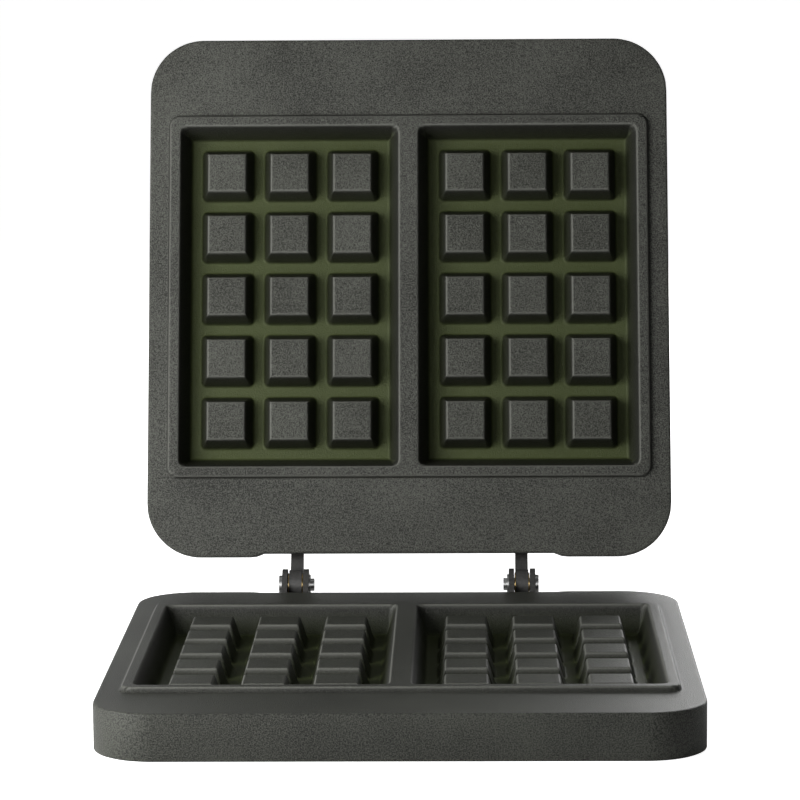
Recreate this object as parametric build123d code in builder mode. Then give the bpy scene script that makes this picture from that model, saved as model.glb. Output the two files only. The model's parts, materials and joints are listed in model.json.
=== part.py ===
from build123d import *
import os
from dataclasses import dataclass
from math import cos, radians, sin

# A brussels waffle maker's hinged pair of cast baking plates, open at rest with the lid leaning on its stop.
# Millimetres. +Z up, +X right, +Y towards the hinge. The origin is the centre of the lower plate's underside.

# Waffle pattern
post_columns = 3
post_rows = 5
post_base = 25.0
post_top = 18.0
post_height = 11.0
post_base_corner = 2.4
post_top_corner = 1.0
post_edge = 0.6
channel = 5.5
cavity_depth = 13.8
wall_draft = 4.8
cavity_corner = 3.6
floor_corner = 3.0

# Rim and flange of both plates
centre_bar = 9.1
rim_side = 4.7
rim_end = 4.4
rim_height = 2.4
rim_corner = 4.6
rim_flare = 0.9
side_margin = 10.15
end_margin = 38.8
plate_corner = 26.0
notch_width = 148.0
notch_slope = 4.5
notch_depth = 1.7

# Castings
plate_height = 20.0
lower_flange = 6.0
upper_flange = 5.0
skirt_wall = 6.0
rebate_width = 3.0
body_wall = 1.0
floor_thickness = 4.5
rib_thickness = 4.0
rib_depth = 6.0
boss_radius = 7.0
corner_boss_inset = 22.0
mount_screw_diameter = 6.0
mount_screw_depth = 10.0

# Hinge
opening_angle = 106.0
closing_gap = 0.3
hinge_setback = 13.9
hinge_rise = 0.5
hinge_spacing = 108.0
pin_diameter = 6.0
running_clearance = 0.05
bush_wall = 1.0
bush_flange = 0.5
bush_flange_radius = 5.5
side_play = 0.3
arm_thickness = 6.0
arm_eye = 7.0
arm_neck = 11.0
arm_foot_width = 16.0
arm_foot_length = 22.0
arm_foot_thickness = 5.0
arm_foot_inset = 3.0
arm_pad = 4.0
arm_heel_drop = 1.0
arm_screw_diameter = 5.0
arm_screw_depth = 7.0
cheek_thickness = 2.5
cheek_radius = 7.5
stop_radius = 4.5
leaf_width = 30.0
leaf_height = 13.0
leaf_thickness = 2.5
leaf_lift = 2.0
bracket_boss = 6.0
bracket_screw_offset = 10.5
bracket_screw_diameter = 4.0
bracket_screw_depth = 8.0
stop_pin_diameter = 4.0
stop_reach = 9.5
stop_gap = 0.3
pin_head_radius = 4.5
pin_head_length = 1.6
pin_tail = 2.6
clip_radius = 4.8
clip_thickness = 0.8

# Heating element, pressed flat into grooves in the back
groove_depth = 2.5
element_width = 8.4
element_height = 4.6
element_chamfer = 1.2
element_clearance = 0.1
element_turn_inset = 7.0
element_tail = 88.0
bead_diameter = 4.4
bead_length = 5.0
terminal_diameter = 2.6
terminal_length = 12.0
saddle_width = 10.0
saddle_thickness = 1.0
saddle_foot = 7.0
saddle_gap = 0.2
saddle_screw_diameter = 3.0
saddle_screw_depth = 4.0

# Wiring row on the hinge side
row_offset = 102.0
thermostat_x = 34.0
thermostat_radius = 8.0
thermostat_cap_radius = 7.0
thermostat_cap_height = 4.0
fuse_x = 36.0
fuse_diameter = 5.0
fuse_length = 16.0
block_length = 32.0
block_width = 10.0
link_width = 6.0
link_thickness = 0.8
link_overlap = 4.0
link_gap = 0.5

# Covers and insulation
cover_thickness = 0.7
cover_recess = 0.2
cover_clearance = 0.4
dimple_depth = 3.0
dimple_radius = 6.5
cover_screw_diameter = 4.0
cover_screw_depth = 6.0
cover_boss_radius = 4.5
cover_boss_spacing = 60.0
cover_boss_y = 106.0
rear_boss_x = 20.0
rear_boss_y = 114.0
lid_cover_depth = 30.0
lid_cover_wall = 1.0
lid_cover_inset = 7.5
lid_cover_edge = 5.0
lid_screw_diameter = 5.0
slot_clearance = 1.0
board_thickness = 8.0
board_gap = 1.0

# Cable glands
gland_x = 87.0
gland_y = 100.0
gland_drop = 12.5
gland_thread = 10.0
gland_flats = 12.0
gland_hex_length = 5.0
gland_dome_length = 11.0
gland_dome_radius = 5.4
gland_bore = 6.0
gland_nut_length = 3.0

# Handle
handle_span = 140.0
handle_y = 106.0
handle_reach = 66.0
grip_radius = 13.0
grip_end_radius = 10.5
handle_stem_radius = 6.0
handle_foot_radius = 11.0
handle_foot_height = 4.0
handle_foot_taper = 10.0
handle_eye_radius = 9.0
rod_diameter = 6.0
cap_nut_flats = 10.0
cap_nut_length = 6.0
cap_nut_taper = 8.0
stud_diameter = 6.0
stud_depth = 10.0

# Screw heads
head_ratio = 0.85
head_height_ratio = 0.5
screw_end_gap = 1.0

# Sizes that follow from those above
pitch = post_base + channel
floor_width = post_columns * pitch + channel
floor_length = post_rows * pitch + channel
cavity_width = floor_width + 2 * wall_draft
cavity_length = floor_length + 2 * wall_draft
cavity_x = (centre_bar + cavity_width) / 2
rim_width = 2 * cavity_width + centre_bar + 2 * rim_side
rim_length = cavity_length + 2 * rim_end
plate_width = rim_width + 2 * side_margin
plate_depth = rim_length + 2 * end_margin
hinge_edge = -plate_depth / 2
floor_drop = cavity_depth - rim_height
body_drop = floor_drop + floor_thickness
body_width = 2 * cavity_width + centre_bar + 2 * body_wall
body_length = cavity_length + 2 * body_wall
element_top = body_drop - groove_depth
element_bottom = element_top + element_height
element_mid = element_top + element_height / 2
element_straight = floor_length / 2 - element_turn_inset
leg_x = [side * cavity_x + column * pitch for side in (-1, 1) for column in (-1, 0, 1)]
link_drop = element_mid + terminal_diameter / 2
saddle_screw_x = element_width / 2 + saddle_gap + saddle_thickness + saddle_foot / 2
corner_boss_x = plate_width / 2 - corner_boss_inset
corner_boss_y = plate_depth / 2 - corner_boss_inset
hinge_x = hinge_spacing / 2
cheek_inside = arm_thickness / 2 + bush_flange + side_play
cheek_outside = cheek_inside + cheek_thickness
cover_boss_drop = plate_height - cover_recess - cover_thickness - dimple_depth
cover_screw_places = [
    (0, cover_boss_y),
    (cover_boss_spacing, cover_boss_y),
    (-cover_boss_spacing, cover_boss_y),
    (rear_boss_x, -rear_boss_y),
    (-rear_boss_x, -rear_boss_y),
]
lid_boss_drop = lid_cover_depth - lid_cover_wall
pad_y = hinge_edge + arm_foot_inset + arm_foot_length / 2
foot_drop = upper_flange + arm_pad
arm_screw_places = [
    (side * hinge_x, pad_y + step * arm_foot_length / 4) for side in (-1, 1) for step in (-1, 1)
]
bracket_screw_places = [
    (side * hinge_x + step * bracket_screw_offset) for side in (-1, 1) for step in (-1, 1)
]
bracket_screw_z = leaf_lift + leaf_height / 2
recess_y = plate_depth / 2 - notch_depth
leaf_back_y = recess_y + leaf_thickness

# The hinge axis and the two faces. A face plane has x across, y towards the free edge and z out of the face.
lean = opening_angle - 90
hinge_point = Vector(0, plate_depth / 2 + hinge_setback, plate_height + hinge_rise)
toward_free_edge = Vector(0, sin(radians(lean)), cos(radians(lean)))
lid_normal = Vector(0, -cos(radians(lean)), sin(radians(lean)))
closed_rise = 2 * rim_height + closing_gap - hinge_rise
lid_centre = (
    hinge_point + toward_free_edge * (plate_depth / 2 + hinge_setback) - lid_normal * closed_rise
)
lower_face = Plane(origin=(0, 0, plate_height), x_dir=(-1, 0, 0), z_dir=(0, 0, 1))
upper_face = Plane(origin=lid_centre, x_dir=(1, 0, 0), z_dir=lid_normal)


@dataclass(frozen=True)
class Half:
    """One half of the baking head: its name, the plane of its flange face and its flange's thickness."""

    name: str
    face: Plane
    flange: float


lower = Half("lower", lower_face, lower_flange)
upper = Half("upper", upper_face, upper_flange)
halves = (lower, upper)

os.makedirs("parts", exist_ok=True)


def save(builder, name):
    """Label a finished piece and write it under its name."""
    builder.part.label = name
    export_step(builder.part, f"parts/{name}.step")


def back_plane(half, x, y, drop):
    """A section across a half: local x across the plate and local y deeper into its back."""
    corner = half.face.from_local_coords((x, y, -drop))
    return Plane(origin=corner, x_dir=half.face.x_dir, z_dir=half.face.y_dir)


def base_side_plane(x):
    """The hinge seen from its side at x: local x to the back and local y up, from the hinge axis."""
    return Plane(origin=hinge_point + Vector(x, 0, 0), x_dir=(0, 1, 0), z_dir=(1, 0, 0))


def lid_side_plane(x):
    """The same side view turned open with the lid, so that a shape is drawn as it lies when closed."""
    return Plane(
        origin=hinge_point + Vector(x, 0, 0), x_dir=toward_free_edge * -1, z_dir=(1, 0, 0)
    )


def make_element(half, grow=0.0, longer=0.0):
    """The flattened tube: six legs under the post columns, joined by half turns and one long link."""
    route_plane = half.face.offset(-element_mid)
    bend = pitch / 2
    top = element_straight
    tail = element_tail + longer
    corner = bend * (1 - cos(radians(45)))
    with BuildPart() as element:
        with BuildLine(route_plane) as route:
            Line((leg_x[0], -tail), (leg_x[0], top))
            ThreePointArc((leg_x[0], top), (leg_x[0] + bend, top + bend), (leg_x[1], top))
            Line((leg_x[1], top), (leg_x[1], -top))
            ThreePointArc((leg_x[1], -top), (leg_x[1] + bend, -top - bend), (leg_x[2], -top))
            Line((leg_x[2], -top), (leg_x[2], top))
            ThreePointArc(
                (leg_x[2], top),
                (leg_x[2] + corner, top + bend - corner),
                (leg_x[2] + bend, top + bend),
            )
            Line((leg_x[2] + bend, top + bend), (leg_x[3] - bend, top + bend))
            ThreePointArc(
                (leg_x[3] - bend, top + bend),
                (leg_x[3] - corner, top + bend - corner),
                (leg_x[3], top),
            )
            Line((leg_x[3], top), (leg_x[3], -top))
            ThreePointArc((leg_x[3], -top), (leg_x[3] + bend, -top - bend), (leg_x[4], -top))
            Line((leg_x[4], -top), (leg_x[4], top))
            ThreePointArc((leg_x[4], top), (leg_x[4] + bend, top + bend), (leg_x[5], top))
            Line((leg_x[5], top), (leg_x[5], -tail))
        start = Plane(
            origin=route.wire() @ 0, x_dir=route_plane.z_dir, z_dir=route.wire() % 0
        )
        with BuildSketch(start) as section:
            Rectangle(element_height + 2 * grow, element_width + 2 * grow)
            chamfer(section.vertices(), element_chamfer)
        sweep(path=route.wire())
    return element


def screws(plane, places, diameter, length):
    """Hexagon-headed screws at places on a plane, shanks along its -z, heads along its +z."""
    with BuildPart() as group:
        with BuildSketch(plane):
            with Locations(*places):
                Circle(diameter / 2)
        extrude(amount=-length)
        with BuildSketch(plane):
            with Locations(*places):
                RegularPolygon(diameter * head_ratio, 6)
        extrude(amount=diameter * head_height_ratio)
    return group


# One post: a square pyramid frustum with rounded flanks and a slightly broken top edge.
with BuildPart() as post:
    with BuildSketch():
        RectangleRounded(post_base, post_base, post_base_corner)
    with BuildSketch(Plane.XY.offset(post_height)):
        RectangleRounded(post_top, post_top, post_top_corner)
    loft(ruled=True)
    chamfer(post.faces().sort_by(Axis.Z)[-1].edges(), post_edge)


def add_waffle_side(half):
    """Shapes the baking side of the casting in hand: rim, cavities and posts, and the element's grooves."""
    rim_top = half.face.offset(rim_height)
    floor = half.face.offset(-floor_drop)
    with BuildSketch(half.face) as rim_foot:
        RectangleRounded(
            rim_width + 2 * rim_flare, rim_length + 2 * rim_flare, rim_corner + rim_flare
        )
    with BuildSketch(rim_top) as rim_edge:
        RectangleRounded(rim_width, rim_length, rim_corner)
    loft(sections=[rim_foot.sketch, rim_edge.sketch], ruled=True)
    for side in (-1, 1):
        with BuildSketch(rim_top) as mouth:
            with Locations((side * cavity_x, 0)):
                RectangleRounded(cavity_width, cavity_length, cavity_corner)
        with BuildSketch(floor) as cavity_floor:
            with Locations((side * cavity_x, 0)):
                RectangleRounded(floor_width, floor_length, floor_corner)
        loft(sections=[mouth.sketch, cavity_floor.sketch], ruled=True, mode=Mode.SUBTRACT)
        with Locations(floor):
            with Locations((side * cavity_x, 0)):
                with GridLocations(pitch, pitch, post_columns, post_rows):
                    add(post.part)
    add(make_element(half, element_clearance, bead_length).part, mode=Mode.SUBTRACT)
    with BuildSketch(half.face.offset(-body_drop)) as saddle_holes:
        with Locations(*saddle_screw_places):
            Circle(saddle_screw_diameter / 2)
    extrude(saddle_holes.sketch, amount=saddle_screw_depth, mode=Mode.SUBTRACT)


def add_back(half, rib_reach):
    """Adds what stands on the back of a flange: the block behind the cavities, ribs and a fuse cradle."""
    flange_back = half.face.offset(-half.flange)
    with BuildSketch(flange_back) as body:
        RectangleRounded(body_width, body_length, cavity_corner + body_wall)
    extrude(body.sketch, amount=half.flange - body_drop)
    with BuildSketch(flange_back) as ribs:
        with Locations((cavity_x, 0), (0, 0), (-cavity_x, 0)):
            Rectangle(rib_thickness, plate_depth / 2 - rib_reach, align=(Align.CENTER, Align.MIN))
        with Locations((0, 0), (0, 1.5 * pitch), (0, -1.5 * pitch)):
            Rectangle(plate_width - 2 * rib_reach, rib_thickness)
    extrude(ribs.sketch, amount=-rib_depth)
    with BuildSketch(flange_back) as cradle:
        with Locations((fuse_x, -row_offset)):
            Rectangle(fuse_length / 2, fuse_diameter)
    extrude(cradle.sketch, amount=half.flange - link_drop + fuse_diameter)


saddle_screw_places = [
    (x + side * saddle_screw_x, 0) for x in leg_x for side in (-1, 1)
]
notch_points = [
    (-notch_width / 2, hinge_edge),
    (-notch_width / 2 + notch_slope, hinge_edge + notch_depth),
    (notch_width / 2 - notch_slope, hinge_edge + notch_depth),
    (notch_width / 2, hinge_edge),
]

# Lower plate: a deep casting whose skirt the whole head stands on
with BuildPart() as lower_plate:
    with BuildSketch(lower_face):
        RectangleRounded(plate_width, plate_depth, plate_corner)
        with BuildLine():
            Polyline(*notch_points, close=True)
        make_face(mode=Mode.SUBTRACT)
    extrude(amount=-plate_height)
    with BuildSketch(lower_face.offset(-lower_flange)):
        RectangleRounded(
            plate_width - 2 * skirt_wall, plate_depth - 2 * skirt_wall, plate_corner - skirt_wall
        )
    extrude(amount=lower_flange - plate_height, mode=Mode.SUBTRACT)
    with BuildSketch(lower_face.offset(-plate_height)):
        rebate_inset = skirt_wall - rebate_width
        RectangleRounded(
            plate_width - 2 * rebate_inset,
            plate_depth - 2 * rebate_inset,
            plate_corner - rebate_inset,
        )
    extrude(amount=cover_thickness + cover_recess, mode=Mode.SUBTRACT)
    add_back(lower, skirt_wall)
    # Tapped bosses at the corners, down to the level that the head stands on
    with BuildSketch(lower_face.offset(-lower_flange)):
        with GridLocations(2 * corner_boss_x, 2 * corner_boss_y, 2, 2):
            Circle(boss_radius)
    extrude(amount=lower_flange - plate_height)
    with BuildSketch(lower_face.offset(-plate_height)):
        with GridLocations(2 * corner_boss_x, 2 * corner_boss_y, 2, 2):
            Circle(mount_screw_diameter / 2)
    extrude(amount=mount_screw_depth, mode=Mode.SUBTRACT)
    # Bosses for the bottom cover's screws
    with BuildSketch(lower_face.offset(-lower_flange)):
        with Locations(*cover_screw_places):
            Circle(cover_boss_radius)
    extrude(amount=lower_flange - cover_boss_drop)
    with BuildSketch(lower_face.offset(-cover_boss_drop)):
        with Locations(*cover_screw_places):
            Circle(cover_screw_diameter / 2)
    extrude(amount=cover_screw_depth, mode=Mode.SUBTRACT)
    # Thick wall behind the hinge brackets, with their screw holes
    with BuildSketch(lower_face.offset(-lower_flange)):
        with Locations(
            (hinge_x, hinge_edge + skirt_wall), (-hinge_x, hinge_edge + skirt_wall)
        ):
            Rectangle(leaf_width, bracket_boss, align=(Align.CENTER, Align.MIN))
    extrude(amount=lower_flange - plate_height + leaf_lift)
    with BuildSketch(Plane.XZ.offset(-recess_y)):
        with Locations(*[(x, bracket_screw_z) for x in bracket_screw_places]):
            Circle(bracket_screw_diameter / 2)
    extrude(amount=bracket_screw_depth, mode=Mode.SUBTRACT)
    # Hole for the cable gland
    with BuildSketch(Plane.XZ.offset(-plate_depth / 2)):
        with Locations((gland_x, plate_height - gland_drop)):
            Circle(gland_thread / 2)
    extrude(amount=skirt_wall, mode=Mode.SUBTRACT)
    add_waffle_side(lower)
save(lower_plate, "lower_plate")

# Upper plate: a thin-flanged casting that the lid cover closes from behind
with BuildPart() as upper_plate:
    with BuildSketch(upper_face):
        RectangleRounded(plate_width, plate_depth, plate_corner)
        with BuildLine():
            Polyline(*notch_points, close=True)
        make_face(mode=Mode.SUBTRACT)
    extrude(amount=-upper_flange)
    add_back(upper, lid_cover_inset + 2 * lid_cover_wall)
    # Bosses at the corners for the cover's screws, and two for the handle's studs
    with BuildSketch(upper_face.offset(-upper_flange)):
        with GridLocations(2 * corner_boss_x, 2 * corner_boss_y, 2, 2):
            Circle(boss_radius)
        with Locations((handle_span / 2, handle_y), (-handle_span / 2, handle_y)):
            Circle(boss_radius)
    extrude(amount=upper_flange - lid_boss_drop)
    with BuildSketch(upper_face.offset(-lid_boss_drop)):
        with GridLocations(2 * corner_boss_x, 2 * corner_boss_y, 2, 2):
            Circle(lid_screw_diameter / 2)
        with Locations((handle_span / 2, handle_y), (-handle_span / 2, handle_y)):
            Circle(stud_diameter / 2)
    extrude(amount=stud_depth, mode=Mode.SUBTRACT)
    # Pads under the hinge arms
    with BuildSketch(upper_face.offset(-upper_flange)):
        with Locations((hinge_x, pad_y), (-hinge_x, pad_y)):
            Rectangle(arm_foot_width, arm_foot_length)
    extrude(amount=-arm_pad)
    with BuildSketch(upper_face.offset(-foot_drop)):
        with Locations(*arm_screw_places):
            Circle(arm_screw_diameter / 2)
    extrude(amount=arm_screw_depth, mode=Mode.SUBTRACT)
    add_waffle_side(upper)
save(upper_plate, "upper_plate")

# Heating elements with their terminals, saddles and wiring row, alike in both halves
for half in halves:
    element = make_element(half)
    save(element, f"{half.name}_element")

    tail_ends = [
        Plane(
            origin=half.face.from_local_coords((x, -element_tail, -element_mid)),
            x_dir=half.face.x_dir,
            z_dir=half.face.y_dir * -1,
        )
        for x in (leg_x[0], leg_x[-1])
    ]
    with BuildPart() as beads:
        for plane in tail_ends:
            with BuildSketch(plane):
                Circle(bead_diameter / 2)
                Circle(terminal_diameter / 2, mode=Mode.SUBTRACT)
            extrude(amount=bead_length)
    save(beads, f"{half.name}_element_beads")

    with BuildPart() as terminals:
        for plane in tail_ends:
            with BuildSketch(plane):
                Circle(terminal_diameter / 2)
            extrude(amount=bead_length + terminal_length)
    save(terminals, f"{half.name}_element_terminals")

    inside = element_width / 2 + saddle_gap
    outside = inside + saddle_thickness
    crown = element_bottom - body_drop
    with BuildPart() as saddles:
        for x in leg_x:
            with BuildSketch(back_plane(half, x, -saddle_width / 2, body_drop)):
                with BuildLine():
                    Polyline(
                        (-outside - saddle_foot, 0),
                        (-inside, 0),
                        (-inside, crown),
                        (inside, crown),
                        (inside, 0),
                        (outside + saddle_foot, 0),
                        (outside + saddle_foot, saddle_thickness),
                        (outside, saddle_thickness),
                        (outside, crown + saddle_thickness),
                        (-outside, crown + saddle_thickness),
                        (-outside, saddle_thickness),
                        (-outside - saddle_foot, saddle_thickness),
                        close=True,
                    )
                make_face()
            extrude(amount=saddle_width)
        with BuildSketch(half.face.offset(-body_drop)):
            with Locations(*saddle_screw_places):
                Circle(saddle_screw_diameter / 2)
        extrude(amount=-saddle_thickness, mode=Mode.SUBTRACT)
    save(saddles, f"{half.name}_saddles")

    seat = half.face.offset(-body_drop - saddle_thickness)
    head_side = Plane(origin=seat.origin, x_dir=seat.x_dir * -1, z_dir=seat.z_dir * -1)
    mirrored = [(-x, y) for x, y in saddle_screw_places]
    saddle_screws = screws(
        head_side,
        mirrored,
        saddle_screw_diameter,
        saddle_thickness + saddle_screw_depth - screw_end_gap,
    )
    save(saddle_screws, f"{half.name}_saddle_screws")

    # Disc thermostat: a cap against the casting, a moulded body and two blades
    with BuildPart() as thermostat:
        with BuildSketch(half.face.offset(-half.flange)):
            with Locations((-thermostat_x, -row_offset)):
                Circle(thermostat_cap_radius)
        extrude(amount=-thermostat_cap_height)
        with BuildSketch(half.face.offset(-half.flange - thermostat_cap_height)):
            with Locations((-thermostat_x, -row_offset)):
                Circle(thermostat_radius)
        extrude(amount=half.flange + thermostat_cap_height - link_drop)
        with BuildSketch(half.face.offset(-link_drop)):
            with Locations((-thermostat_x, -row_offset)):
                Rectangle(2 * (thermostat_radius + link_overlap), link_width)
        extrude(amount=link_thickness)
    save(thermostat, f"{half.name}_thermostat")

    with BuildPart() as fuse:
        fuse_start = half.face.from_local_coords(
            (fuse_x - fuse_length / 2, -row_offset, -link_drop + fuse_diameter / 2)
        )
        with BuildSketch(
            Plane(origin=fuse_start, x_dir=half.face.y_dir, z_dir=half.face.x_dir)
        ):
            Circle(fuse_diameter / 2)
        extrude(amount=fuse_length)
    save(fuse, f"{half.name}_thermal_fuse")

    with BuildPart() as block:
        with BuildSketch(half.face.offset(-half.flange)):
            with Locations((0, -row_offset)):
                Rectangle(block_length, block_width)
        extrude(amount=half.flange - link_drop)
        with BuildSketch(half.face.offset(-link_drop)):
            with Locations((0, -row_offset)):
                Rectangle(link_overlap, block_width)
        extrude(amount=-link_thickness)
    save(block, f"{half.name}_terminal_block")

    thermostat_end = thermostat_x + thermostat_radius
    link_spans = [
        (leg_x[0] - link_width / 2, -thermostat_end - link_gap),
        (-thermostat_x + thermostat_radius + link_gap, -block_length / 2 + link_overlap),
        (block_length / 2 - link_overlap, fuse_x - fuse_length / 2 + link_overlap),
        (fuse_x + fuse_length / 2 - link_overlap, leg_x[-1] + link_width / 2),
    ]
    with BuildPart() as links:
        with BuildSketch(half.face.offset(-link_drop)):
            for start, end in link_spans:
                with Locations(((start + end) / 2, -row_offset)):
                    Rectangle(end - start, link_width)
        extrude(amount=-link_thickness)
    save(links, f"{half.name}_links")

# Bottom cover: a steel sheet in the rebate, with pressed dimples that sink its screw heads
under = Plane(origin=(0, 0, 0), x_dir=(1, 0, 0), z_dir=(0, 0, -1))
cover_inset = skirt_wall - rebate_width + cover_clearance
with BuildPart() as bottom_cover:
    with BuildSketch(under.offset(-cover_recess)):
        RectangleRounded(
            plate_width - 2 * cover_inset, plate_depth - 2 * cover_inset, plate_corner - cover_inset
        )
    extrude(amount=-cover_thickness)
    dimple_top = cover_recess + cover_thickness + dimple_depth
    with BuildSketch(lower_face.offset(cover_recess - plate_height)):
        with Locations(*cover_screw_places):
            Circle(dimple_radius)
    extrude(amount=dimple_top - cover_recess)
    with BuildSketch(lower_face.offset(cover_recess - plate_height)):
        with Locations(*cover_screw_places):
            Circle(dimple_radius - cover_thickness)
    extrude(amount=dimple_depth, mode=Mode.SUBTRACT)
    with BuildSketch(lower_face.offset(-plate_height)):
        with Locations(*cover_screw_places):
            Circle(cover_screw_diameter / 2)
        with GridLocations(2 * corner_boss_x, 2 * corner_boss_y, 2, 2):
            Circle(boss_radius + cover_clearance)
    extrude(amount=dimple_top, mode=Mode.SUBTRACT)
save(bottom_cover, "bottom_cover")

cover_seat = Plane(
    origin=(0, 0, plate_height - cover_boss_drop - cover_thickness), x_dir=(1, 0, 0), z_dir=(0, 0, -1)
)
cover_screws = screws(
    cover_seat,
    [(-x, y) for x, y in cover_screw_places],
    cover_screw_diameter,
    cover_thickness + cover_screw_depth - screw_end_gap,
)
save(cover_screws, "bottom_cover_screws")

# Lid cover: a drawn steel shell, slotted where the hinge arms enter
lid_back = Plane(
    origin=upper_face.from_local_coords((0, 0, -upper_flange)),
    x_dir=(-1, 0, 0),
    z_dir=lid_normal * -1,
)
lid_shell_height = lid_cover_depth - upper_flange
with BuildPart() as lid_cover:
    with BuildSketch(lid_back):
        RectangleRounded(
            plate_width - 2 * lid_cover_inset,
            plate_depth - 2 * lid_cover_inset,
            plate_corner - lid_cover_inset,
        )
    extrude(amount=lid_shell_height)
    back_face = lid_cover.faces().sort_by(Axis(lid_back.origin, lid_back.z_dir))[-1]
    fillet(back_face.edges(), lid_cover_edge)
    open_face = lid_cover.faces().sort_by(Axis(lid_back.origin, lid_back.z_dir))[0]
    offset(amount=-lid_cover_wall, openings=open_face)
    with BuildSketch(upper_face.offset(-upper_flange)):
        with Locations((hinge_x, hinge_edge), (-hinge_x, hinge_edge)):
            Rectangle(
                arm_foot_width + 2 * slot_clearance,
                2 * (lid_cover_inset + 3 * lid_cover_wall),
            )
    slot_depth = arm_pad + arm_foot_thickness + arm_screw_diameter * head_height_ratio + slot_clearance
    extrude(amount=-slot_depth, mode=Mode.SUBTRACT)
    with BuildSketch(upper_face.offset(-lid_boss_drop)):
        with GridLocations(2 * corner_boss_x, 2 * corner_boss_y, 2, 2):
            Circle(lid_screw_diameter / 2)
        with Locations((handle_span / 2, handle_y), (-handle_span / 2, handle_y)):
            Circle(stud_diameter / 2)
        with Locations((gland_x, -gland_y)):
            Circle(gland_thread / 2)
    extrude(amount=-lid_cover_wall, mode=Mode.SUBTRACT)
save(lid_cover, "lid_cover")

lid_seat = lid_back.offset(lid_shell_height)
lid_cover_screws = screws(
    lid_seat,
    [(x * corner_boss_x, y * corner_boss_y) for x in (-1, 1) for y in (-1, 1)],
    lid_screw_diameter,
    lid_cover_wall + stud_depth - screw_end_gap,
)
save(lid_cover_screws, "lid_cover_screws")

board_inset = lid_cover_inset + lid_cover_wall + lid_cover_edge
with BuildPart() as insulation_board:
    with BuildSketch(upper_face.offset(-lid_boss_drop)):
        RectangleRounded(
            plate_width - 2 * board_inset, plate_depth - 2 * board_inset, plate_corner - board_inset
        )
        with GridLocations(2 * corner_boss_x, 2 * corner_boss_y, 2, 2):
            Circle(boss_radius + board_gap, mode=Mode.SUBTRACT)
        with Locations((handle_span / 2, handle_y), (-handle_span / 2, handle_y)):
            Circle(boss_radius + board_gap, mode=Mode.SUBTRACT)
        with Locations((gland_x, -gland_y)):
            Circle(gland_flats / 2 + 2 * board_gap, mode=Mode.SUBTRACT)
    extrude(amount=board_thickness)
save(insulation_board, "insulation_board")

# Cable glands: a hexagon body with a domed cap outside, and a locknut inside
gland_seats = {
    "lower": Plane(
        origin=(gland_x, plate_depth / 2, plate_height - gland_drop), x_dir=(1, 0, 0), z_dir=(0, 1, 0)
    ),
    "upper": Plane(
        origin=upper_face.from_local_coords((gland_x, -gland_y, -lid_cover_depth)),
        x_dir=(1, 0, 0),
        z_dir=lid_normal * -1,
    ),
}
gland_walls = {"lower": skirt_wall, "upper": lid_cover_wall}
for name, outside_plane in gland_seats.items():
    wall = gland_walls[name]
    with BuildPart() as gland:
        with BuildSketch(outside_plane):
            RegularPolygon(gland_flats / 2, 6, major_radius=False)
        extrude(amount=gland_hex_length)
        with BuildSketch(outside_plane.offset(gland_hex_length)):
            Circle(gland_dome_radius)
        extrude(amount=gland_dome_length - gland_hex_length)
        dome_end = gland.faces().sort_by(Axis(outside_plane.origin, outside_plane.z_dir))[-1]
        fillet(dome_end.edges(), (gland_dome_radius - gland_bore / 2) / 2)
        with BuildSketch(outside_plane):
            Circle(gland_thread / 2)
        extrude(amount=-wall - gland_nut_length)
        with BuildSketch(outside_plane.offset(gland_dome_length)):
            Circle(gland_bore / 2)
        extrude(amount=-gland_dome_length - wall - gland_nut_length, mode=Mode.SUBTRACT)
    save(gland, f"{name}_gland")

    with BuildPart() as gland_nut:
        with BuildSketch(outside_plane.offset(-wall)):
            RegularPolygon(gland_flats / 2, 6, major_radius=False)
            Circle(gland_thread / 2, mode=Mode.SUBTRACT)
        extrude(amount=-gland_nut_length)
    save(gland_nut, f"{name}_gland_nut")

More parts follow.
